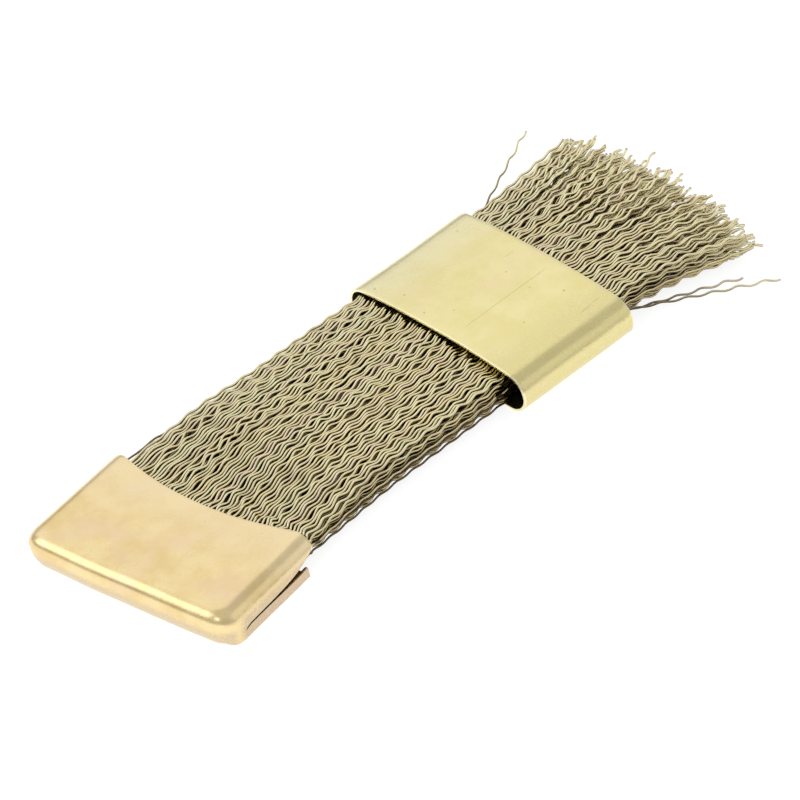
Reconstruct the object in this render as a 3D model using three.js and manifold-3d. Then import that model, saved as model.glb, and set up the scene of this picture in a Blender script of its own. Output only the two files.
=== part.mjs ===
// A flat cleaning brush of crimped brass wire. A folded sheet-brass end cap grips one end of a flat
// bundle of wires, and a thin brass sleeve slides along the bundle to free or stiffen the tips.
// Millimetres. X runs along the wires from the cap to the tips, Y across them, Z up.
import * as THREE from "three";
import { mergeVertices } from "three/addons/utils/BufferGeometryUtils.js";
import Module from "manifold-3d";

const wasm = await Module();
wasm.setup();

const degrees = THREE.MathUtils.degToRad;
const curveSegments = 12;
const mergeWithin = 0.01; // cut faces are tidied by moving their points less than this
const quarters = [0.25, 0.5, 0.75, 1];

// Driving dimensions. The origin is where the bundle's axis meets the cap's mouth, until the whole
// brush is moved to its own origin.
const cap = {
  mouthX: -0.1, // centre of the mouth's edge
  mouthY: -0.05,
  length: 10.85, // to the nose's corners
  width: 20.1,
  height: 3.0,
  sheet: 0.3,
  yaw: degrees(8.5), // the cap is bent sideways on the bundle
  noseBow: 0.2, // the nose's middle is this much further out
  noseSkew: 0.015, // the nose runs askew, by this much for each millimetre across
  noseFlare: 0.015, // the nose is this much wider than the mouth, as a share
  cornerRadius: 1.6, // the nose's corners, seen from above
  edgeRound: 1.0, // how far the rolled edges reach in from the outline
  edgeRise: 0.46, // share of the height that each rolled edge takes
  mouthDip: 1.3, // the mouth's edge is cut hollow, deepest in the middle
  bevelSteps: 5,
  slitStart: 1.8, // from the nose to where each side's slit begins
  slitHeight: 1.3, // the upper flange's free edge there, and at the mouth
  slitHeightAtMouth: 2.3,
};

// The bottom panel with its two flanges. They stand up to the slits under the upper flanges.
const tray = {
  width: 20.1,
  edge: 0.2, // the bottom edge's bend
  top: 1.15,
  mouthInset: 1.05, // the bottom panel ends this much behind the mouth's corners
  frontOverlap: 0.8, // it starts inside the nose
  frontShare: 0.93, // and is this much narrower there
  widening: 1.6,
  steps: 8,
};

const sleeve = {
  start: 24.2,
  offset: -0.42, // its centre line from the bundle's axis: the wires are pushed to one side in it
  length: 12.4,
  flat: 16.4, // width of the flat underside
  sideRadius: 1.75,
  sheet: 0.25,
  domeAngle: degrees(6), // the top's slope where it meets the rolled sides
  seamGap: 0.15, // the strip's ends meet under the brush
};

const bundle = {
  halfWidth: 8.85,
  base: 0.4,
  tipX: 51.5, // the middle wires' tips
  tipArc: 2.0, // how much shorter the outer wires reach
  buttInset: 2.2, // from the cap's nose to the wires' hidden ends
  settle: 2.4, // the wires turn straight over this length beyond the mouth
  splay: 0.08, // the bundle is this much wider in the cap, as a share
  splayLength: 13.0, // and narrows over this length
  fanStart: 38.5, // where the free wires start to spread
  fanLength: 11.0,
  fanGrowth: 0.26, // share of the width gained over the fan's length
  fanShift: -0.6, // the fan leans to one side by this much over its length
  fanPower: 1.3,
  swell: 1.2, // the bundle is this much thicker once it is out of the cap
  swellStart: 1.0,
  swellEnd: 8.0,
};

const tufts = {
  columns: 14,
  sideGap: 0.25,
  thickness: 0.6,
  layerGap: 0.2,
  fanSteps: 6,
  layers: [
    { name: "bottom", widthShare: 0.9 },
    { name: "middle", widthShare: 0.97 },
    { name: "top", widthShare: 0.93 },
  ],
};

// Loose wires: side is +1 or -1 across the brush, beside their distance from the bundle's edge, height
// their height in the bundle, and tip the place where they end. They leave the bundle at leaves.
const strays = [
  { name: "left", side: 1, beside: -0.05, height: 2.25, leaves: 38.2, tip: [47.2, 12.0, 4.0] },
  { name: "right_long", side: -1, beside: -0.02, height: 1.5, leaves: 37.2, tip: [48.9, -15.2, 0.6] },
  { name: "right_short", side: -1, beside: -0.02, height: 0.8, leaves: 38.4, tip: [47.2, -12.6, 0.5] },
];
const stray = { radius: 0.13, stations: 30, sides: 6 };

const brassCap = { color: "#ebd4a1", roughness: 0.38, metalness: 1 };
const brassSleeve = { color: "#e6dc96", roughness: 0.3, metalness: 1 };
const brassWire = { color: "#b3a374", roughness: 0.35, metalness: 1 };

// A named mesh with its own brass finish.
function brassMesh(name, geometry, finish) {
  const mesh = new THREE.Mesh(geometry, new THREE.MeshStandardMaterial(finish));
  mesh.name = name;
  return mesh;
}

// A closed geometry as a solid for the boolean steps, and back again.
function toSolid(geometry) {
  const bare = geometry.index ? geometry.toNonIndexed() : geometry.clone();
  bare.deleteAttribute("normal");
  bare.deleteAttribute("uv");
  const merged = mergeVertices(bare, 1e-4);
  return new wasm.Manifold(
    new wasm.Mesh({
      numProp: 3,
      vertProperties: merged.attributes.position.array,
      triVerts: new Uint32Array(merged.index.array),
    }),
  );
}

function toGeometry(solid) {
  const mesh = solid.getMesh();
  const geometry = new THREE.BufferGeometry();
  geometry.setAttribute("position", new THREE.BufferAttribute(mesh.vertProperties, 3));
  geometry.setIndex(new THREE.BufferAttribute(mesh.triVerts, 1));
  return geometry;
}

// A section extruded along X. Its own X and Y become the brush's Y and Z.
function alongX(section, start, end, steps) {
  const geometry = new THREE.ExtrudeGeometry(section, {
    depth: end - start,
    bevelEnabled: false,
    curveSegments,
    steps,
  });
  const turn = new THREE.Matrix4().makeBasis(
    new THREE.Vector3(0, 1, 0),
    new THREE.Vector3(0, 0, 1),
    new THREE.Vector3(1, 0, 0),
  );
  geometry.applyMatrix4(turn);
  geometry.translate(start, 0, 0);
  return geometry;
}

// The end cap, in its own frame: the nose at -X, the corners of the mouth at X 0.
const beyondMouth = 4; // how far the slabs and the cutters run on past the real faces
const beyondSide = cap.width / 2 + 2;
const slitX = -cap.length + cap.slitStart;

// A slab with round corners and rolled edges, inset from the cap's outside. It runs on beyond the
// mouth.
function capSlab(inset) {
  const half = cap.width / 2 - inset;
  const nose = -cap.length + inset;
  const corner = cap.cornerRadius - inset;
  const outline = new THREE.Shape();
  outline.moveTo(beyondMouth, -half);
  outline.lineTo(beyondMouth, half);
  outline.lineTo(nose + corner, half);
  outline.absarc(nose + corner, half - corner, corner, Math.PI / 2, Math.PI, false);
  outline.absarc(nose + corner, corner - half, corner, Math.PI, 1.5 * Math.PI, false);
  outline.closePath();

  const round = cap.edgeRound - inset;
  const height = cap.height - 2 * inset;
  const rise = cap.edgeRise * height;
  const geometry = new THREE.ExtrudeGeometry(outline, {
    depth: height - 2 * rise,
    bevelThickness: rise,
    bevelSize: round,
    bevelOffset: -round,
    bevelSegments: cap.bevelSteps,
    curveSegments: curveSegments / 2,
  });
  geometry.translate(0, 0, inset + rise);
  return toSolid(geometry);
}

// Everything beyond the mouth's hollow edge.
function mouthCutter() {
  const outline = new THREE.Shape();
  outline.moveTo(0, -beyondSide);
  outline.lineTo(2 * beyondMouth, -beyondSide);
  outline.lineTo(2 * beyondMouth, beyondSide);
  outline.lineTo(0, beyondSide);
  outline.lineTo(0, cap.width / 2);
  outline.quadraticCurveTo(-2 * cap.mouthDip, 0, 0, -cap.width / 2);
  outline.closePath();
  const geometry = new THREE.ExtrudeGeometry(outline, {
    depth: 3 * cap.height, // from well under the cap to well over it
    bevelEnabled: false,
    curveSegments,
  });
  geometry.translate(0, 0, -cap.height);
  return toSolid(geometry);
}

// The space under the upper flanges. Their free edges curve up towards the mouth.
function underFlangeCutter() {
  const outline = new THREE.Shape();
  outline.moveTo(slitX, -cap.height);
  outline.lineTo(slitX, cap.slitHeight);
  outline.quadraticCurveTo(slitX / 3, cap.slitHeight, 0, cap.slitHeightAtMouth);
  outline.lineTo(beyondMouth * 2, cap.slitHeightAtMouth);
  outline.lineTo(beyondMouth * 2, -cap.height);
  outline.closePath();
  const geometry = new THREE.ExtrudeGeometry(outline, {
    depth: 2 * beyondSide,
    bevelEnabled: false,
    curveSegments,
  });
  geometry.rotateX(Math.PI / 2);
  geometry.translate(0, beyondSide, 0);
  return toSolid(geometry);
}

// Half of the tray's section from its middle outwards, as [y, z], inset from its outside.
function traySide(inset) {
  const bottom = tray.width / 2 - inset;
  return [
    [bottom - tray.edge, inset],
    [bottom, inset + tray.edge],
    [bottom, tray.top],
  ];
}

function trayShell() {
  const outside = traySide(0);
  const inside = traySide(cap.sheet).reverse();
  const half = [...outside, ...inside];
  const mirrored = half.map(([y, z]) => [-y, z]).reverse();
  const section = new THREE.Shape([...half, ...mirrored].map(([y, z]) => new THREE.Vector2(y, z)));
  const front = slitX - tray.frontOverlap;
  const geometry = alongX(section, front, -tray.mouthInset, tray.steps);
  const position = geometry.getAttribute("position");
  for (let i = 0; i < position.count; i++) {
    const share = THREE.MathUtils.smoothstep(position.getX(i), front, front + tray.widening);
    position.setY(i, position.getY(i) * THREE.MathUtils.lerp(tray.frontShare, 1, share));
  }
  return toSolid(geometry);
}

// One folded sheet: the top and bottom panels join round the nose, and on each side the top panel's
// flange meets the bottom panel's flange at a slit, which opens into a wedge at the mouth.
function endCap() {
  const folded = capSlab(0)
    .subtract(capSlab(cap.sheet))
    .subtract(underFlangeCutter())
    .subtract(mouthCutter())
    .add(trayShell())
    .simplify(mergeWithin);
  const geometry = toGeometry(folded);
  const position = geometry.getAttribute("position");
  for (let i = 0; i < position.count; i++) {
    const share = -position.getX(i) / cap.length;
    const y = position.getY(i);
    const bow = cap.noseBow * (1 - ((2 * y) / cap.width) ** 2);
    position.setX(i, position.getX(i) - (cap.noseSkew * y + bow) * share);
    position.setY(i, y * (1 + cap.noseFlare * share));
  }
  return geometry;
}

// The sleeve: a strip bent into a flat-bottomed tube with a slightly domed top, open along a seam.
function sleeveSection() {
  const half = sleeve.flat / 2;
  const r = sleeve.sideRadius;
  const t = sleeve.sheet;
  const up = Math.PI / 2;
  const domeRise = half / Math.sin(sleeve.domeAngle);
  const domeCentre = r - domeRise * Math.cos(sleeve.domeAngle);
  const section = new THREE.Shape();
  section.moveTo(sleeve.seamGap / 2, 0);
  section.lineTo(half, 0);
  section.absarc(half, r, r, -up, up - sleeve.domeAngle, false);
  section.absarc(0, domeCentre, domeRise + r, up - sleeve.domeAngle, up + sleeve.domeAngle, false);
  section.absarc(-half, r, r, up + sleeve.domeAngle, 3 * up, false);
  section.lineTo(-sleeve.seamGap / 2, 0);
  section.lineTo(-sleeve.seamGap / 2, t);
  section.absarc(-half, r, r - t, 3 * up, up + sleeve.domeAngle, true);
  section.absarc(0, domeCentre, domeRise + r - t, up + sleeve.domeAngle, up - sleeve.domeAngle, true);
  section.absarc(half, r, r - t, up - sleeve.domeAngle, -up, true);
  section.lineTo(sleeve.seamGap / 2, t);
  section.closePath();
  return section;
}

function slidingSleeve() {
  const geometry = alongX(sleeveSection(), sleeve.start, sleeve.start + sleeve.length, 1);
  geometry.translate(0, sleeve.offset, 0);
  return geometry;
}

// The bundle's sideways drift beyond the mouth, where the wires turn from the cap's direction to X.
const drift = (Math.tan(cap.yaw) * bundle.settle) / 2;

// Where a wire is, seen from above: along is the way from the mouth, negative inside the cap, and
// place its place across the straight bundle.
function wirePoint(along, place) {
  const narrowed = THREE.MathUtils.smoothstep(along, 0, bundle.splayLength);
  const across = place * (1 + bundle.splay * (1 - narrowed));
  const s = Math.sin(cap.yaw);
  const c = Math.cos(cap.yaw);
  if (along <= 0) {
    return new THREE.Vector2(along * c - across * s, along * s + across * c - drift);
  }
  const settled = Math.min(along / bundle.settle, 1);
  const turning = 1 - THREE.MathUtils.smoothstep(settled, 0, 1);
  const fan = (Math.max(along - bundle.fanStart, 0) / bundle.fanLength) ** bundle.fanPower;
  const spread = 1 + bundle.fanGrowth * fan;
  const x = along - across * s * turning;
  const shift = drift * (settled * (2 - settled) - 1) + bundle.fanShift * fan;
  return new THREE.Vector2(x, across * spread * (1 - turning * (1 - c)) + shift);
}

// The bundle thickens where it leaves the cap.
function heightAt(x, height) {
  const share = THREE.MathUtils.smoothstep(x, bundle.swellStart, bundle.swellEnd);
  return bundle.base + height * (1 + (bundle.swell - 1) * share);
}

// Stations along a wire: close together where it bends or spreads, and far apart where it is straight.
function stations(across) {
  const tip = bundle.tipX - bundle.tipArc * (across / bundle.halfWidth) ** 2;
  const list = [bundle.buttInset - cap.length, 0];
  for (const share of quarters) list.push(share * bundle.settle);
  for (const share of quarters) {
    list.push(THREE.MathUtils.lerp(bundle.swellStart, bundle.swellEnd, share));
  }
  list.push(bundle.splayLength, sleeve.start, bundle.fanStart);
  for (let i = 1; i <= tufts.fanSteps; i++) {
    list.push(THREE.MathUtils.lerp(bundle.fanStart, tip, i / tufts.fanSteps));
  }
  return list;
}

// A tuft stands for the crimped wires between two places across the bundle.
function wireTuft(left, right, low) {
  const along = stations((left + right) / 2);
  const outline = new THREE.Shape([
    ...along.map((s) => wirePoint(s, right)),
    ...along.reverse().map((s) => wirePoint(s, left)),
  ]);
  const geometry = new THREE.ExtrudeGeometry(outline, { depth: tufts.thickness, bevelEnabled: false });
  const position = geometry.getAttribute("position");
  for (let i = 0; i < position.count; i++) {
    position.setZ(i, heightAt(position.getX(i), low + position.getZ(i)));
  }
  return geometry;
}

function wireTufts() {
  const group = new THREE.Group();
  group.name = "wire_bundle";
  tufts.layers.forEach((layer, level) => {
    const half = bundle.halfWidth * layer.widthShare;
    const pitch = (2 * half + tufts.sideGap) / tufts.columns;
    const low = level * (tufts.thickness + tufts.layerGap);
    for (let column = 0; column < tufts.columns; column++) {
      const right = -half + column * pitch;
      const number = String(column + 1).padStart(2, "0");
      const geometry = wireTuft(right + pitch - tufts.sideGap, right, low);
      group.add(brassMesh(`wire_tuft_${layer.name}_${number}`, geometry, brassWire));
    }
  });
  return group;
}

// A loose wire runs along the bundle's edge and bends away beyond the sleeve.
function strayWire({ side, beside, height, leaves, tip }) {
  const across = side * (bundle.halfWidth + beside);
  const start = bundle.buttInset - cap.length;
  const end = new THREE.Vector3(...tip);
  const points = [];
  for (let i = 0; i <= stray.stations; i++) {
    const along = THREE.MathUtils.lerp(start, tip[0], i / stray.stations);
    const held = wirePoint(Math.min(along, leaves), across);
    const away = Math.max(along - leaves, 0) / (tip[0] - leaves);
    const point = new THREE.Vector3(held.x, held.y, height);
    points.push(away > 0 ? point.lerp(end, away) : point);
  }
  const section = new THREE.Shape();
  section.absarc(0, 0, stray.radius, 0, 2 * Math.PI, false);
  return new THREE.ExtrudeGeometry(section, {
    steps: stray.stations,
    extrudePath: new THREE.CatmullRomCurve3(points, false, "centripetal"),
    curveSegments: stray.sides / 2,
  });
}

function brush() {
  const group = new THREE.Group();
  group.name = "wire_brush";

  const capMesh = brassMesh("end_cap", endCap(), brassCap);
  capMesh.position.set(cap.mouthX, cap.mouthY, 0);
  capMesh.rotation.z = cap.yaw;
  group.add(capMesh);

  group.add(brassMesh("sliding_sleeve", slidingSleeve(), brassSleeve));
  group.add(wireTufts());
  for (const wire of strays) {
    group.add(brassMesh(`stray_wire_${wire.name}`, strayWire(wire), brassWire));
  }
  return group;
}

// The origin is the centre of the brush's footprint, at its lowest point.
const model = brush();
model.updateMatrixWorld(true);
const extent = new THREE.Box3().setFromObject(model, true);
const centre = extent.getCenter(new THREE.Vector3());
model.position.set(-centre.x, -centre.y, -extent.min.z);

export default model;
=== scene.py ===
"""A flat cleaning brush of crimped brass wire, with a folded end cap and a sliding sleeve.

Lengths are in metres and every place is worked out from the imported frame. The brush lies along X,
from the cap to the tips, with Y across the flat bundle and Z up.
"""

from math import asin, cos, pi, radians, sin, tan

import bpy
import numpy as np
from mathutils import Matrix, Vector, noise


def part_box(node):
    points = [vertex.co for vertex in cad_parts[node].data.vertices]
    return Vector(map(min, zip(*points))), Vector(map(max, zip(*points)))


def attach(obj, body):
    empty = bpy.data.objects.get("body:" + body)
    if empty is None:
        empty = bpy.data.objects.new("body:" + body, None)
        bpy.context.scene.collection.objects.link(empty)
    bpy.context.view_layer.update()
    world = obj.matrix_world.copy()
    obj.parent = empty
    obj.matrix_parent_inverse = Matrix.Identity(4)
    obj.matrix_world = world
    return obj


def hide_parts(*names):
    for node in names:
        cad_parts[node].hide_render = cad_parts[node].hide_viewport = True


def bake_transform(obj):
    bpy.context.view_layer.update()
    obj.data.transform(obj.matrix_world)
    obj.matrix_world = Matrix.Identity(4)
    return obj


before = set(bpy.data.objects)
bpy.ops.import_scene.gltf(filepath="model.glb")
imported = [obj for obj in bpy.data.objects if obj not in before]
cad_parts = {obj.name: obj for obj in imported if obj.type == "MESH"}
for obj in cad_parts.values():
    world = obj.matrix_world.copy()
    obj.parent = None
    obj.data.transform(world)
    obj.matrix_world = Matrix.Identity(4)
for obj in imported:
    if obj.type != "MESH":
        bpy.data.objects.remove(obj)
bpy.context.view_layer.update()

MM = 0.001
rng = np.random.default_rng(26)

# The brush's driving sizes. The cap's and the sleeve's outer sizes are a sheet's thickness fuller
# than those of the CAD solids.
CAP_LENGTH = 11.15 * MM
CAP_HALF = 10.35 * MM
CAP_HEIGHT = 3.3 * MM
CAP_SHEET = 0.3 * MM
CAP_YAW = radians(8.5)
CAP_BOW = 0.2 * MM
CAP_SKEW = 0.015
CAP_SHIFT = -0.05 * MM
CAP_FLARE = 0.015
SIDE_ROUND = 1.6 * MM
SIDE_DROP = 1.75 * MM
NOSE_DROP = 1.15 * MM
NOSE_TUCK = 0.3 * MM
PROFILE_STEPS = 17
SIDE_TUCK = 0.06
NOSE_ROUND = 1.25 * MM
CORNER_ROUND = 0.4 * MM
MOUTH_DIP = 1.3 * MM
SLIT_X = 2.1 * MM - CAP_LENGTH
SLIT_OPENING = 0.5 * MM
SLIT_GAP = 0.17 * MM
SLIT_HEIGHT_NOSE = 1.2 * MM
SLIT_HEIGHT_MOUTH = 2.35 * MM
SLIT_DIP = 0.45 * MM
SLIT_DIP_LENGTH = 0.8 * MM
BOTTOM_EDGE = 0.25 * MM
BOTTOM_MOUTH = 1.05 * MM
LOWER_FLANGE_INSET = 0.03
DENT_DEPTH = 0.05 * MM
CUT_EDGE = 0.05 * MM

SLEEVE_FLAT = 16.65 * MM
SLEEVE_SIDE_RADIUS = 1.875 * MM
SLEEVE_SHEET = 0.25 * MM
SLEEVE_DOME = radians(6)
SLEEVE_SEAM = 0.15 * MM
SLEEVE_FROM_MOUTH = 24.2 * MM
SLEEVE_OFFSET = 0.42 * MM

BUNDLE_HALF = 8.85 * MM
BUNDLE_BASE = 0.42 * MM
SETTLE = 2.4 * MM
SPLAY = 0.08
SPLAY_LENGTH = 13.0 * MM
FAN_START = 38.5 * MM
FAN_LENGTH = 11.0 * MM
FAN_GROWTH = 0.26
FAN_SHIFT = -0.6 * MM
FAN_POWER = 1.3
TIP_X = 50.6 * MM
TIP_ARC = 1.3 * MM
BUTT_INSET = 2.3 * MM

sleeve_low, sleeve_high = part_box("sliding_sleeve")
SLEEVE_Y = (sleeve_low.y + sleeve_high.y) / 2
AXIS_Y = SLEEVE_Y + SLEEVE_OFFSET
MOUTH_X = sleeve_low.x - SLEEVE_FROM_MOUTH
CAP_MOUTH_X = MOUTH_X - 0.1 * MM
DRIFT = tan(CAP_YAW) * SETTLE / 2


# ---------------------------------------------------------------- camera, light and floor

CAMERA_AZIMUTH = radians(-38.15)
CAMERA_ELEVATION = radians(40.33)
CAMERA_DISTANCE = 0.3917
CAMERA_ROLL = radians(9.0)
CAMERA_LENS = 221.0
CAMERA_TARGET = Vector((MOUTH_X + 17.95 * MM, SLEEVE_Y - 2.25 * MM, 2.0 * MM))


def direction(azimuth, elevation):
    """Unit vector from the brush towards a place seen at this azimuth and elevation."""
    return Vector(
        (sin(azimuth) * cos(elevation), -cos(azimuth) * cos(elevation), sin(elevation))
    )


def make_camera():
    data = bpy.data.cameras.new("camera")
    data.lens = CAMERA_LENS
    camera = bpy.data.objects.new("camera", data)
    bpy.context.collection.objects.link(camera)
    back = direction(CAMERA_AZIMUTH, CAMERA_ELEVATION)
    turn = (-back).to_track_quat("-Z", "Y").to_matrix() @ Matrix.Rotation(-CAMERA_ROLL, 3, "Z")
    camera.matrix_world = Matrix.Translation(CAMERA_TARGET + back * CAMERA_DISTANCE) @ turn.to_4x4()
    bpy.context.scene.camera = camera


def softbox(name, azimuth, elevation, distance, size, brightness):
    """A rectangular light. Brightness is what a mirror would show of it, where white is 1."""
    data = bpy.data.lights.new(name, "AREA")
    data.shape = "RECTANGLE"
    data.size, data.size_y = size
    data.energy = brightness * pi * size[0] * size[1]
    light = bpy.data.objects.new(name, data)
    bpy.context.collection.objects.link(light)
    away = direction(radians(azimuth), radians(elevation))
    light.location = away * distance
    light.rotation_euler = away.to_track_quat("Z", "Y").to_euler()


def make_world():
    """A studio room: dark near the horizon, paler overhead."""
    world = bpy.data.worlds.new("studio")
    world.use_nodes = True
    bpy.context.scene.world = world
    tree = world.node_tree
    background = tree.nodes["Background"]
    background.inputs["Strength"].default_value = 1.0
    place = tree.nodes.new("ShaderNodeTexCoord")
    split = tree.nodes.new("ShaderNodeSeparateXYZ")
    ramp = tree.nodes.new("ShaderNodeValToRGB")
    ramp.color_ramp.elements[0].position = 0.0
    ramp.color_ramp.elements[0].color = (0.50, 0.50, 0.50, 1)
    ramp.color_ramp.elements[1].position = 0.9
    ramp.color_ramp.elements[1].color = (0.66, 0.66, 0.66, 1)
    low = ramp.color_ramp.elements.new(0.3)
    low.color = (0.52, 0.52, 0.52, 1)
    tree.links.new(place.outputs["Generated"], split.inputs[0])
    tree.links.new(split.outputs["Z"], ramp.inputs["Fac"])
    tree.links.new(ramp.outputs["Color"], background.inputs["Color"])


def make_floor():
    """A white light table: it glows a little, so the brush hardly casts a shadow on it."""
    bpy.ops.mesh.primitive_plane_add(size=3.0, location=(0, 0, 0))
    floor = bpy.context.object
    floor.name = "floor"
    material = bpy.data.materials.new("floor")
    material.use_nodes = True
    shader = material.node_tree.nodes["Principled BSDF"]
    shader.inputs["Base Color"].default_value = (0.35, 0.35, 0.35, 1)
    shader.inputs["Roughness"].default_value = 1.0
    shader.inputs["Specular IOR Level"].default_value = 0.0
    shader.inputs["Emission Color"].default_value = (1, 1, 1, 1)
    shader.inputs["Emission Strength"].default_value = 0.86
    floor.data.materials.append(material)


def make_stage():
    bpy.context.scene.view_settings.view_transform = "Standard"
    make_camera()
    make_world()
    softbox("key", -127, 37, 0.5, (0.24, 0.33), 1.3)
    softbox("right", 40, 24, 0.6, (0.44, 0.34), 0.32)
    softbox("front_left", -70, 40, 0.5, (0.14, 0.14), 2.0)
    softbox("overhead", 158, 46, 0.6, (0.80, 0.50), 0.40)
    make_floor()


# ---------------------------------------------------------------- small helpers


def mesh_object(name, points, faces, material):
    mesh = bpy.data.meshes.new(name)
    mesh.from_pydata([tuple(p) for p in points], [], faces)
    mesh.update()
    mesh.shade_smooth()
    mesh.materials.append(material)
    made = bpy.data.objects.new(name, mesh)
    bpy.context.collection.objects.link(made)
    return made


def cap_to_row(x, y, z):
    """A point in the cap's own frame (mouth at 0, nose at -X), in the row frame."""
    share = -x / CAP_LENGTH
    x -= (CAP_SKEW * y + CAP_BOW * (1 - (y / CAP_HALF) ** 2)) * share
    y *= 1 + CAP_FLARE * share
    c, s = cos(CAP_YAW), sin(CAP_YAW)
    return Vector((CAP_MOUTH_X + c * x - s * y, AXIS_Y + CAP_SHIFT + s * x + c * y, z))


def smoothstep(value):
    """0 below 0 and 1 above 1, smooth between."""
    share = np.clip(value, 0, 1)
    return share * share * (3 - 2 * share)


def add_modifiers(piece, sheet):
    """Gives a skin its sheet thickness, inwards, and takes the sharpness off its cut edges."""
    solid = piece.modifiers.new("sheet", "SOLIDIFY")
    solid.thickness = sheet
    solid.offset = -1
    solid.use_even_offset = False
    bevel = piece.modifiers.new("edges", "BEVEL")
    bevel.width = CUT_EDGE
    bevel.segments = 2
    bevel.limit_method = "ANGLE"
    bevel.angle_limit = radians(50)
    bevel.harden_normals = False


# ---------------------------------------------------------------- end cap


def cap_rows():
    """Stations from the mouth to the nose on the outline inset by the edge rounding: (x, half width,
    outward normal in plan)."""
    half = CAP_HALF - SIDE_ROUND
    corner_x = NOSE_ROUND + CORNER_ROUND - CAP_LENGTH
    rows = [(x, half, (0.0, 1.0)) for x in np.linspace(0, SLIT_X, 34)[:-1]]
    rows += [(x, half, (0.0, 1.0)) for x in np.linspace(SLIT_X, corner_x, 6)[:-1]]
    for a in np.linspace(0, pi / 2, 9):
        x = corner_x - CORNER_ROUND * sin(a)
        rows.append((x, half - CORNER_ROUND * (1 - cos(a)), (-sin(a), cos(a))))
    return rows


def mouth_hollow(x, across):
    """How far the mouth's hollow edge draws a place on the top panel back."""
    return -MOUTH_DIP * (1 - across * across) * max(0.0, 1 + x / (CAP_LENGTH * 0.8)) ** 2


def bottom_x(x):
    """The bottom panel ends a little behind the top one."""
    reach = SLIT_X / 2
    return x if x < reach else reach + (x - reach) * (1 + BOTTOM_MOUTH / reach)


def resample(corners, count):
    """Points evenly spaced along a rolled edge's section, keeping its two ends."""
    corners = np.array(corners)
    lengths = np.linalg.norm(np.diff(corners * (SIDE_ROUND, 1), axis=0), axis=1)
    gone = np.concatenate([[0], np.cumsum(lengths)])
    places = np.linspace(0, gone[-1], count)
    return np.stack([np.interp(places, gone, corners[:, k]) for k in (0, 1)], -1)


def slit_height(x):
    """Height of the upper flange's free edge. It dips at the nose and rises fast near the mouth."""
    along = min(max(1 - x / SLIT_X, 0.0), 1.0)
    dip = max(0.0, 1 - (x - SLIT_X) / SLIT_DIP_LENGTH) if x > SLIT_X else 1.0
    rise = (SLIT_HEIGHT_MOUTH - SLIT_HEIGHT_NOSE) * along**3
    return SLIT_HEIGHT_NOSE + rise - SLIT_DIP * dip**2


def nose_section(start, end):
    """The nose is rolled right round. Sections are lists of (share of the rounding, height)."""
    widest = CAP_HEIGHT - NOSE_DROP
    below = widest + NOSE_TUCK

    def turn(height):
        return asin(min((height - widest) / (NOSE_DROP if height > widest else below), 1.0))

    turns = np.linspace(turn(start), turn(end), PROFILE_STEPS)
    rise = np.where(turns > 0, NOSE_DROP, below)
    return np.stack([np.cos(turns), widest + rise * np.sin(turns)], -1)


def upper_side_section(end):
    """The side turns down in a roll of its own and tucks in a little to its free edge."""
    turns = np.linspace(pi / 2, 0, 25)
    corners = [(cos(a), CAP_HEIGHT - SIDE_DROP + SIDE_DROP * sin(a)) for a in turns]
    corners.append((1 - SIDE_TUCK, SLIT_HEIGHT_NOSE - SLIT_DIP))
    corners = np.array(corners)
    heights = np.linspace(CAP_HEIGHT, end, 60)
    shares = np.interp(-heights, -corners[:, 1], corners[:, 0])
    return resample(np.stack([shares, heights], -1), PROFILE_STEPS)


def lower_side_section(top, share):
    """The bottom panel's flange, standing up from the bottom edge's bend."""
    bend = BOTTOM_EDGE / SIDE_ROUND
    turns = np.linspace(0, pi / 2, 5)
    edge = [(1 - bend * (1 - cos(a)), BOTTOM_EDGE * (1 - sin(a))) for a in turns]
    return resample([(share, top)] + edge, PROFILE_STEPS)


def sideways(x, normal):
    """0 on the nose, 1 on the straight sides."""
    turned = smoothstep((normal[1] - 0.6) / 0.4)
    return turned * (0.35 + 0.65 * smoothstep((x + CAP_LENGTH) / (2 * MM)))


def upper_profile(x, normal):
    end = slit_height(x)
    nose = nose_section(CAP_HEIGHT, end)
    return nose + (upper_side_section(end) - nose) * sideways(x, normal)


def lower_profile(x, normal):
    """From the slit down to the bottom. In front of the slit it joins on to the upper flange."""
    end = slit_height(x)
    opened = smoothstep((x - SLIT_X) / SLIT_OPENING)
    top = min(end, SLIT_HEIGHT_NOSE) - SLIT_GAP * opened
    joined_share = upper_side_section(end)[-1][0]
    share = joined_share + (1 - LOWER_FLANGE_INSET - joined_share) * opened
    nose = nose_section(end, 0)
    return nose + (lower_side_section(top, share) - nose) * sideways(x, normal)


def on_roll(x, y, normal, place):
    share, height = place
    return Vector((x + normal[0] * NOSE_ROUND * share, y + normal[1] * SIDE_ROUND * share, height))


class Skin:
    """Collects points and faces. Points at the same place become one."""

    def __init__(self):
        self.points, self.faces, self.known = [], [], {}

    def add(self, point):
        key = tuple(round(v / 1e-7) for v in point)
        if key not in self.known:
            self.known[key] = len(self.points)
            self.points.append(point)
        return self.known[key]

    def grid(self, rows, flip=False):
        """Joins rows of points, each as long as the next, into quads."""
        index = [[self.add(p) for p in row] for row in rows]
        for a, b in zip(index, index[1:]):
            for i in range(len(a) - 1):
                face = [a[i], a[i + 1], b[i + 1], b[i]]
                face = list(dict.fromkeys(face))
                if len(face) > 2:
                    self.faces.append(face[::-1] if flip else face)


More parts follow.
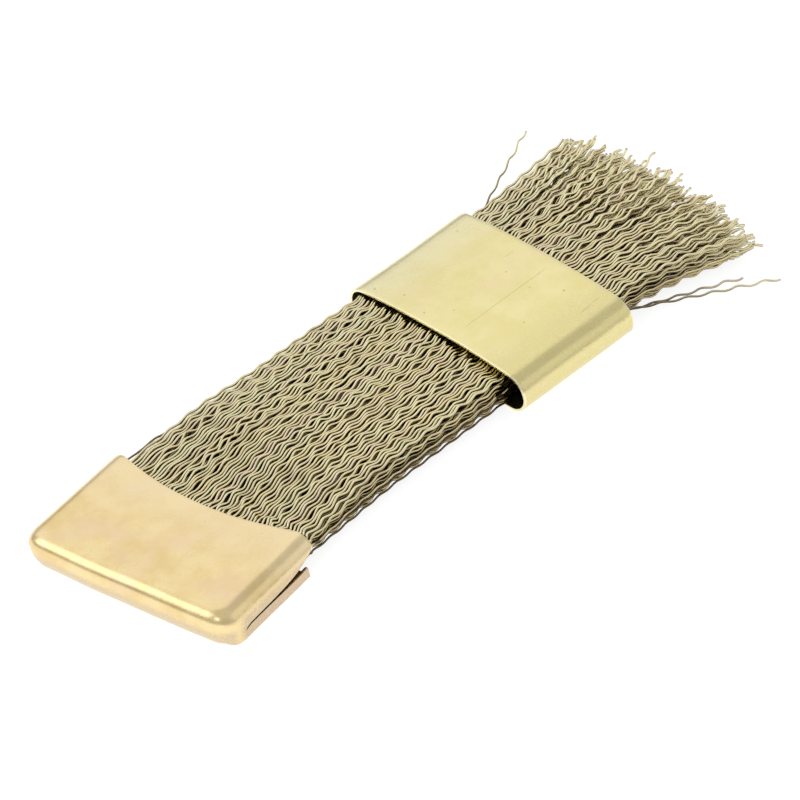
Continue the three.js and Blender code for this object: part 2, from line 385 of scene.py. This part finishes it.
def cap_skin():
    """The folded sheet's outer skin, before it gets its thickness."""
    rows = cap_rows()
    across = np.linspace(-1, 1, 61)
    skin = Skin()
    top = [
        [Vector((x + mouth_hollow(x, a), half * a, CAP_HEIGHT)) for a in across]
        for x, half, _ in rows
    ]
    skin.grid(top)

    bottom = []
    for x, half, normal in rows:
        edge = on_roll(bottom_x(x), half, normal, lower_profile(x, normal)[-1])
        bottom.append([Vector((edge.x, edge.y * a, 0)) for a in across])
    skin.grid(bottom, flip=True)

    nose_x, nose_half, _ = rows[-1]
    outline = [(x, -half, (n[0], -n[1])) for x, half, n in rows]
    outline += [(nose_x, nose_half * a, (-1.0, 0.0)) for a in across[1:-1]]
    outline += [(x, half, n) for x, half, n in reversed(rows)]
    upper, lower = [], []
    for x, y, normal in outline:
        outward = (normal[0], abs(normal[1]))
        high = upper_profile(x, outward)
        low = lower_profile(x, outward)
        upper.append([on_roll(x, y, normal, place) for place in high])
        lower.append([on_roll(bottom_x(x), y, normal, place) for place in low])
    skin.grid(upper, flip=True)
    skin.grid(lower, flip=True)
    return skin


def dented(point, seed, scale):
    """Moves a point a little, by smooth noise, as hand-formed sheet is never quite flat. The noise
    isn't seeded, so the dents differ from run to run."""
    place = point / scale + Vector((seed, 0, 0))
    return point + noise.noise_vector(place) * DENT_DEPTH


def make_cap(material):
    skin = cap_skin()
    points = []
    for point in skin.points:
        moved = dented(point, 3.1, 5 * MM)
        height = max(moved.z, 0) if point.z > 0 else 0
        points.append(cap_to_row(moved.x, moved.y, height))
    cap = mesh_object("folded_cap", points, skin.faces, material)
    add_modifiers(cap, CAP_SHEET)
    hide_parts("end_cap")
    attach(cap, "bundle")
    return cap


# ---------------------------------------------------------------- sliding sleeve


def arc(centre, radius, start, end, steps):
    return [
        (centre[0] + radius * cos(a), centre[1] + radius * sin(a))
        for a in np.linspace(start, end, steps + 1)
    ]


def sleeve_outline():
    """The sleeve's outer section, from one side of the seam round to the other, as (y, z)."""
    half, r, up = SLEEVE_FLAT / 2, SLEEVE_SIDE_RADIUS, pi / 2
    dome = half / sin(SLEEVE_DOME)
    centre = r - dome * cos(SLEEVE_DOME)
    flat = [(y, 0.0) for y in np.linspace(SLEEVE_SEAM / 2, half, 14)[:-1]]
    right = arc((half, r), r, -up, up - SLEEVE_DOME, 20)
    top = arc((0, centre), dome + r, up - SLEEVE_DOME, up + SLEEVE_DOME, 36)[1:-1]
    left = [(-y, z) for y, z in reversed(right)]
    return flat + right + top + left + [(-y, z) for y, z in reversed(flat)]


def make_sleeve(material):
    outline = sleeve_outline()
    stations = np.linspace(sleeve_low.x, sleeve_high.x, 30)
    skin = Skin()
    rows = []
    for x in stations:
        row = []
        for y, z in outline:
            point = Vector((x, SLEEVE_Y + y, z))
            moved = dented(point, 8.4, 6 * MM)
            moved.z = max(moved.z, 0) if z > 0 else 0
            row.append(moved)
        rows.append(row)
    skin.grid(rows)
    sleeve = mesh_object("sleeve_strip", skin.points, skin.faces, material)
    add_modifiers(sleeve, SLEEVE_SHEET)
    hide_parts("sliding_sleeve")
    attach(sleeve, "sleeve")
    return sleeve


# ---------------------------------------------------------------- crimped wires

WIRE_RADIUS = 0.115 * MM
CRIMP_LENGTH = 1.9 * MM
CRIMP_SIDE = 0.1 * MM
CRIMP_UP = 0.11 * MM
COLUMNS = 54
# Each layer's share of the bundle's width, lowest first: they follow the sleeve's rolled sides.
LAYER_WIDTHS = (0.90, 0.935, 0.96, 0.99, 0.995, 0.985, 0.975, 0.965)
LAYERS = len(LAYER_WIDTHS)
LAYER_PITCH = 0.27 * MM
SWELL_SIDE = 1.36
SWELL_MIDDLE = 1.62
SWELL_START = 1.0 * MM
SWELL_LENGTH = 7.0 * MM
TIP_RAGGED = 0.45 * MM
WANDER = 0.03 * MM
LOOSE_SIDE = 0.34 * MM
LOOSE_UP = 0.26 * MM
PHASE_STEP = 0.36
JUMP_SHARE = 0.05
JUMP_TURN = 2.2
TUFTS = 14


def lay(along, across, height):
    """Row-frame points of wires: along from the cap's mouth, across the bundle, and height in it."""
    across = across * (1 + SPLAY * (1 - smoothstep(along / SPLAY_LENGTH)))
    c, s = cos(CAP_YAW), sin(CAP_YAW)
    settled = np.clip(along / SETTLE, 0, 1)
    turning = 1 - smoothstep(settled)
    fan = (np.clip(along - FAN_START, 0, None) / FAN_LENGTH) ** FAN_POWER
    shift = DRIFT * (settled * (2 - settled) - 1) + FAN_SHIFT * fan
    free_x = along - across * s * turning
    free_y = across * (1 + FAN_GROWTH * fan) * (1 - turning * (1 - c)) + shift
    held_x = along * c - across * s
    held_y = along * s + across * c - DRIFT
    x = np.where(along > 0, free_x, held_x)
    y = np.where(along > 0, free_y, held_y)
    dome = SWELL_SIDE + (SWELL_MIDDLE - SWELL_SIDE) * (1 - (across / BUNDLE_HALF) ** 2)
    swell = 1 + (dome - 1) * smoothstep((x - SWELL_START) / SWELL_LENGTH)
    z = BUNDLE_BASE + height * swell
    return np.stack([MOUTH_X + x, AXIS_Y + y, z], -1)


def crimp(phase):
    """A rounded zigzag between -1 and 1."""
    return np.arcsin(0.93 * np.sin(phase)) / asin(0.93)


def tubes(paths, radius, sides):
    """Points and faces of closed tubes round paths, an array of wires, stations and XYZ."""
    count, length, _ = paths.shape
    ahead = np.gradient(paths, axis=1)
    ahead /= np.linalg.norm(ahead, axis=2, keepdims=True)
    side = np.cross(np.array([0.0, 0.0, 1.0]), ahead)
    side /= np.linalg.norm(side, axis=2, keepdims=True)
    above = np.cross(ahead, side)
    angles = np.linspace(0, 2 * pi, sides, endpoint=False)
    ring = (
        side[:, :, None] * np.cos(angles)[None, None, :, None]
        + above[:, :, None] * np.sin(angles)[None, None, :, None]
    )
    points = (paths[:, :, None] + ring * radius).reshape(-1, 3)
    first = np.arange(count * length * sides).reshape(count, length, sides)
    near, far = first[:, :-1], first[:, 1:]
    quads = np.stack(
        [near, np.roll(near, -1, 2), np.roll(far, -1, 2), far], -1
    ).reshape(-1, 4)
    butts = first[:, 0, ::-1]
    tips = first[:, -1]
    return points, quads.tolist() + butts.tolist() + tips.tolist()


def wander(count, along, size, longest):
    """Slow sideways drift of each wire, an array of wires and stations."""
    total = np.zeros((count, along.shape[-1]))
    for k in (1, 2, 3):
        turn = rng.uniform(0, 2 * pi, (count, 1))
        share = rng.normal(0, 1, (count, 1))
        total += share * np.sin(2 * pi * along * k / longest + turn) / k
    return total * size


def phases(count):
    """Crimps of neighbours nest: the phase drifts from wire to wire and jumps between groups."""
    steps = rng.normal(0, PHASE_STEP, count)
    jumps = rng.random(count) < JUMP_SHARE
    steps[jumps] += rng.uniform(-JUMP_TURN, JUMP_TURN, jumps.sum())
    return np.cumsum(steps)


def wire_layer(level, per_crimp):
    """The paths of one layer of wires."""
    stagger = 0.25 if level % 2 else -0.25
    across = (np.arange(COLUMNS) + 0.5 + stagger) / COLUMNS * 2 - 1
    across = (across * BUNDLE_HALF * LAYER_WIDTHS[level] * 0.985)[:, None]
    tip = TIP_X - TIP_ARC * (across / BUNDLE_HALF) ** 2 + rng.normal(0, TIP_RAGGED, across.shape)
    butt = BUTT_INSET - CAP_LENGTH
    stations = int((TIP_X - butt) / CRIMP_LENGTH * per_crimp)
    along = butt + (tip - butt) * np.linspace(0, 1, stations)[None, :]
    height = level * LAYER_PITCH + 0 * along
    height = height + wander(COLUMNS, along, WANDER, 26 * MM)
    sideways = wander(COLUMNS, along, WANDER, 30 * MM)

    turn = phases(COLUMNS)[:, None] + 2 * pi * along / CRIMP_LENGTH
    turn = turn + wander(COLUMNS, along, 0.45, 24 * MM)
    size = rng.uniform(0.6, 1.25, across.shape) * (1 + wander(COLUMNS, along, 0.12, 14 * MM))
    crimped = crimp(turn) * size * CRIMP_SIDE
    lifted = crimp(turn + rng.normal(0.9, 0.7, across.shape)) * size * CRIMP_UP

    loose = np.clip((along - FAN_START) / FAN_LENGTH, 0, None) ** 1.6
    drift_side = rng.normal(0, LOOSE_SIDE, across.shape) * loose
    drift_up = rng.normal(0, LOOSE_UP, across.shape) * loose
    edge = 1 - 0.5 * smoothstep((np.abs(across) / BUNDLE_HALF - 0.92) / 0.08)
    place = lay(along, across + (sideways + crimped) * edge + drift_side, height)
    place[:, :, 2] += lifted + drift_up
    place[:, :, 2] = np.maximum(place[:, :, 2], WIRE_RADIUS)
    return place


def colour_wires(mesh, paths, sides, depth):
    """Gives each wire its own shade, and stores painted light for each place: a painted highlight on
    the tops of the upper wires, and painted shade on their undersides and on buried wires, less where
    they fan out."""
    count, stations, _ = paths.shape
    shade = mesh.attributes.new("shade", "FLOAT", "POINT")
    values = np.repeat(rng.random(count), stations * sides)
    shade.data.foreach_set("value", values.astype(np.float32))
    painted_light = mesh.attributes.new("painted_light", "FLOAT", "POINT")
    up = np.sin(np.linspace(0, 2 * pi, sides, endpoint=False))
    bared = smoothstep((paths[:, :, 0] - MOUTH_X - FAN_START) / FAN_LENGTH)
    hidden = np.reshape(depth, (-1, 1)) * (1 - bared)
    values = np.clip(0.6 + 0.14 * bared[:, :, None] + 0.4 * up, 0, 1) * (1 - hidden[:, :, None])
    painted_light.data.foreach_set("value", values.ravel().astype(np.float32))


def tuft_nodes(name):
    return [f"wire_tuft_{name}_{i:02d}" for i in range(1, TUFTS + 1)]


def make_wires(material):
    for level in range(LAYERS):
        fine = level in (0, LAYERS - 2, LAYERS - 1)
        sides, per_crimp = (6, 7) if fine else (5, 5)
        paths = wire_layer(level, per_crimp)
        points, faces = tubes(paths, WIRE_RADIUS, sides)
        layer = mesh_object(f"wire_layer_{level + 1}", points, faces, material)
        # Painted shade for buried wires: more under more layers, less towards the bundle's sides.
        outward = np.abs(np.arange(COLUMNS) * 2 / (COLUMNS - 1) - 1)
        buried = np.minimum(LAYERS - 1 - level, (1 - outward) * COLUMNS / 4)
        colour_wires(layer.data, paths, sides, np.clip(buried * 0.3, 0, 0.85))
        if level == 0:
            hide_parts(*tuft_nodes("bottom"))
        if level == LAYERS // 2:
            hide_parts(*tuft_nodes("middle"))
        if level == LAYERS - 1:
            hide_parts(*tuft_nodes("top"))
        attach(layer, "bundle")


STRAYS = {
    "stray_wire_left": dict(
        side=1, beside=-0.2 * MM, height=2.25 * MM, leaves=38.2 * MM, tip=(47.2, 12.0, 4.0)
    ),
    "stray_wire_right_long": dict(
        side=-1, beside=-0.25 * MM, height=1.5 * MM, leaves=37.2 * MM, tip=(48.9, -15.2, 0.6)
    ),
    "stray_wire_right_short": dict(
        side=-1, beside=-0.4 * MM, height=0.8 * MM, leaves=38.4 * MM, tip=(47.2, -12.6, 0.5)
    ),
}


def make_stray(node, material, side, beside, height, leaves, tip):
    """A loose wire: it runs along the bundle's edge, then straight to its tip."""
    end = Vector(tip) * MM
    along = np.linspace(BUTT_INSET - CAP_LENGTH, end.x, 230)[None, :]
    across = np.full_like(along, side * (BUNDLE_HALF + beside))
    held = lay(np.minimum(along, leaves), across, 0 * along)
    held[:, :, 2] = height
    away = np.clip((along - leaves) / (end.x - leaves), 0, 1)[..., None]
    goal = np.array([MOUTH_X + end.x, AXIS_Y + end.y, end.z])
    place = held * (1 - away) + goal * away
    turn = 2 * pi * along / CRIMP_LENGTH
    size = 0.4 + 0.8 * away[..., 0]
    place[:, :, 1] += crimp(turn) * CRIMP_SIDE * size
    place[:, :, 2] += crimp(turn + 1.2) * CRIMP_UP * size
    points, faces = tubes(place, WIRE_RADIUS * 0.8, 6)
    wire = mesh_object(f"loose_{node}", points, faces, material)
    # The loose wire gets the painted highlight on its top and painted shade underneath.
    colour_wires(wire.data, place, 6, 0.35)
    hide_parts(node)
    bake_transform(wire)


# ---------------------------------------------------------------- materials


class Shader:
    """Short ways to build one brass material. Lengths inside it are in millimetres."""

    def __init__(self, name):
        self.material = bpy.data.materials.new(name)
        self.material.use_nodes = True
        self.tree = self.material.node_tree
        self.brdf = self.tree.nodes["Principled BSDF"]
        self.brdf.inputs["Metallic"].default_value = 1.0
        self.place = self.node("ShaderNodeTexCoord").outputs["Object"]

    def node(self, kind, links=(), **settings):
        made = self.tree.nodes.new(kind)
        for key, value in settings.items():
            setattr(made, key, value)
        for key, value in dict(links).items():
            self.put(made.inputs[key], value)
        return made

    def put(self, socket, value):
        if isinstance(value, bpy.types.NodeSocket):
            self.tree.links.new(value, socket)
        else:
            socket.default_value = value

    def turned(self, stretch=(1, 1, 1), angle=0.0, origin=(0, 0, 0)):
        """Object coordinates in millimetres from an origin, turned about Z and then stretched."""
        moved = self.node("ShaderNodeVectorMath", {0: self.place, 1: origin}, operation="SUBTRACT")
        turn = self.node(
            "ShaderNodeVectorRotate", {0: moved.outputs[0], "Angle": -angle}, rotation_type="Z_AXIS"
        )
        scale = tuple(1000 * s for s in stretch)
        return self.node(
            "ShaderNodeVectorMath", {0: turn.outputs[0], 1: scale}, operation="MULTIPLY"
        ).outputs[0]

    def noise(self, place, scale, detail=3.0, rough=0.55):
        links = {"Vector": place, "Scale": scale, "Detail": detail, "Roughness": rough}
        return self.node("ShaderNodeTexNoise", links).outputs["Fac"]

    def spots(self, place, scale, size):
        """1 inside scattered round spots and 0 outside."""
        links = {"Vector": place, "Scale": scale}
        gap = self.node("ShaderNodeTexVoronoi", links).outputs["Distance"]
        return self.fade(gap, size, size * 0.4)

    def fade(self, value, start, end):
        """0 at start and 1 at end, smooth between, either way round."""
        links = {"Value": value, "From Min": start, "From Max": end}
        return self.node("ShaderNodeMapRange", links, interpolation_type="SMOOTHSTEP").outputs["Result"]

    def math(self, operation, a, b=0.0):
        return self.node("ShaderNodeMath", {0: a, 1: b}, operation=operation).outputs[0]

    def mix(self, share, a, b):
        made = self.node("ShaderNodeMix", data_type="RGBA")
        self.put(made.inputs["Factor"], share)
        self.put(made.inputs[6], (*a, 1) if isinstance(a, tuple) else a)
        self.put(made.inputs[7], (*b, 1) if isinstance(b, tuple) else b)
        return made.outputs[2]

    def attribute(self, name):
        return self.node("ShaderNodeAttribute", attribute_name=name).outputs["Fac"]

    def split(self, place):
        return self.node("ShaderNodeSeparateXYZ", {0: place}).outputs

    def bump(self, height, depth, under=None):
        links = {"Height": height, "Distance": depth * MM, "Strength": 1.0}
        if under is not None:
            links["Normal"] = under
        return self.node("ShaderNodeBump", links).outputs["Normal"]

    def finish(self, colour, roughness, normal):
        self.put(self.brdf.inputs["Base Color"], colour)
        self.put(self.brdf.inputs["Roughness"], roughness)
        self.put(self.brdf.inputs["Normal"], normal)
        return self.material


def sheet_brass(name, pale, deep, blush, stains_and_painted_light, origin, angle, roughness, pitting, scratching):
    """Sheet brass that has been handled: cloudy tarnish, fine rolling lines, scratches and pits, under
    listed tints that are partly real stains and partly painted shade and painted highlights.
    """
    s = Shader(name)
    flat = s.turned(angle=angle, origin=origin)
    cloud = s.noise(flat, 0.35, 5.0, 0.6)
    colour = s.mix(s.fade(cloud, 0.35, 0.65), deep, pale)
    patch = s.noise(s.turned(angle=angle, origin=(0.011, 0.003, 0.004)), 0.22, 3.0)
    colour = s.mix(s.math("MULTIPLY", s.fade(patch, 0.5, 0.7), 0.6), colour, blush)
    grain = s.noise(flat, 6.0, 4.0, 0.7)
    colour = s.mix(s.math("MULTIPLY", s.fade(grain, 0.48, 0.66), 0.4), colour, deep)
    broken = s.math("ADD", s.fade(grain, 0.3, 0.6), 0.35)
    # Each tint colours a span of the sheet: some are real stains and scored lines, others painted shade
    # and painted highlights.
    for share, tint, *spans in stains_and_painted_light:
        share = s.math("MULTIPLY", broken, share)
        for axis, start, end in spans:
            share = s.math("MULTIPLY", s.fade(s.split(flat)[axis], start, end), share)
        colour = s.mix(share, colour, tint)

    lines = s.noise(s.turned((0.5, 14.0, 4.0), angle, origin), 1.0, 3.0, 0.6)
    scratch = s.noise(s.turned((0.16, 5.0, 5.0), angle + 0.05, origin), 1.0, 2.0, 0.5)
    scratch = s.fade(scratch, 0.76, 0.79)
    pits = s.spots(flat, 0.55, 0.07)
    worn = s.math(
        "MAXIMUM", s.math("MULTIPLY", scratch, scratching), s.math("MULTIPLY", pits, pitting)
    )
    colour = s.mix(worn, colour, tuple(0.45 * v for v in deep))

    rough = s.math("MULTIPLY_ADD", cloud, 0.22)
    rough.node.inputs[2].default_value = roughness - 0.11
    normal = s.bump(cloud, 0.03)
    normal = s.bump(lines, 0.004, normal)
    normal = s.bump(grain, 0.006, normal)
    normal = s.bump(s.math("MULTIPLY", worn, -1.0), 0.02, normal)
    return s.finish(colour, rough, normal)


def scored(low, high, *ends):
    """The stain of a fine line scored along X, between two places across it."""
    edge = 0.05
    return (0.35, (0.45, 0.38, 0.16), (1, low, low + edge), (1, high, high - edge), *ends)


def wire_brass():
    """Drawn wire: each has its own shade and brown tarnish blotches, with a painted highlight on the
    wire tops and painted shade on undersides and buried wires.
    """
    s = Shader("wire_brass")
    place = s.turned((0.4, 1.0, 1.0))
    shade = s.attribute("shade")
    colour = s.mix(s.fade(shade, 0.0, 0.75), (0.92, 0.74, 0.36), (1.0, 0.92, 0.55))
    colour = s.mix(s.math("MULTIPLY", s.fade(shade, 0.86, 0.9), 0.7), colour, (0.95, 0.70, 0.55))
    blotch = s.noise(place, 0.8, 3.0, 0.6)
    colour = s.mix(s.math("MULTIPLY", s.fade(blotch, 0.5, 0.68), 0.5), colour, (0.50, 0.36, 0.20))
    painted_light = s.attribute("painted_light")
    # Painted highlight: the tops of the upper wires are lightened.
    colour = s.mix(s.math("MULTIPLY", s.fade(painted_light, 0.8, 1.0), 0.7), colour, (1.0, 0.94, 0.64))
    # Painted shade: undersides and buried wires are darkened almost to black.
    colour = s.mix(s.fade(painted_light, 0.93, 0.44), colour, (0.07, 0.045, 0.02))
    grain = s.noise(s.turned((3.0, 12.0, 12.0)), 1.0, 3.0)
    rough = s.math("MULTIPLY_ADD", blotch, 0.2)
    rough.node.inputs[2].default_value = 0.05
    return s.finish(colour, rough, s.bump(grain, 0.006))


make_stage()
make_cap(
    sheet_brass(
        "cap_brass",
        pale=(0.92, 0.74, 0.40),
        deep=(0.82, 0.62, 0.30),
        blush=(0.88, 0.68, 0.46),
        stains_and_painted_light=[
            (0.55, (0.91, 0.75, 0.48), (0, 4.0, 10.5)),
            # Painted shade: the nose's lower band is darker, for the shadowed floor it reflects.
            (0.9, (0.70, 0.56, 0.35), (2, 2.0, 1.1), (0, 1.9, 1.2)),
            # Painted shade: the near side's roll is darker towards the slit, for the dark horizon it
            # reflects.
            (0.8, (0.64, 0.51, 0.33), (1, -9.2, -9.7), (2, 2.5, 1.8), (0, 1.5, 2.7)),
            # Both lower flanges get a pink-brown tone, darkened as painted shade for the shadowed floor
            # they reflect.
            (0.6, (0.62, 0.47, 0.34), (1, -9.0, -9.8), (2, 1.3, 0.9), (0, 1.8, 3.3)),
            (0.6, (0.62, 0.47, 0.34), (1, 9.0, 9.8), (2, 1.3, 0.9), (0, 1.8, 3.3)),
        ],
        origin=tuple(cap_to_row(-CAP_LENGTH, 0, 0)),
        angle=CAP_YAW,
        roughness=0.26,
        pitting=0.12,
        scratching=0.1,
    )
)
make_sleeve(
    sheet_brass(
        "sleeve_brass",
        pale=(0.91, 0.81, 0.43),
        deep=(0.83, 0.73, 0.34),
        blush=(0.88, 0.72, 0.42),
        stains_and_painted_light=[
            # Painted light: the sleeve is paler towards its far side.
            (0.55, (0.93, 0.87, 0.60), (1, 13.0, 19.0)),
            # Painted shade: the sleeve is darker towards its near side's roll and lower on that side.
            (0.7, (0.76, 0.67, 0.32), (1, 5.5, 1.8)),
            (0.3, (0.72, 0.62, 0.32), (1, 2.4, 0.4), (2, 3.5, 1.2)),
            scored(7.93, 8.07, (0, 1.4, 2.2), (0, 11.4, 10.4)),
            scored(11.65, 11.8, (0, 9.9, 10.1), (0, 11.0, 10.8)),
            # Paler cut edges at both ends: edge wear and a painted highlight along the rims.
            (0.6, (1.0, 0.94, 0.62), (0, 0.18, 0.08)),
            (0.6, (1.0, 0.94, 0.62), (0, 12.22, 12.32)),
        ],
        origin=tuple(sleeve_low),
        angle=0.0,
        roughness=0.28,
        pitting=0.6,
        scratching=0.4,
    )
)
wires = wire_brass()
make_wires(wires)
for node, shape in STRAYS.items():
    make_stray(node, wires, **shape)
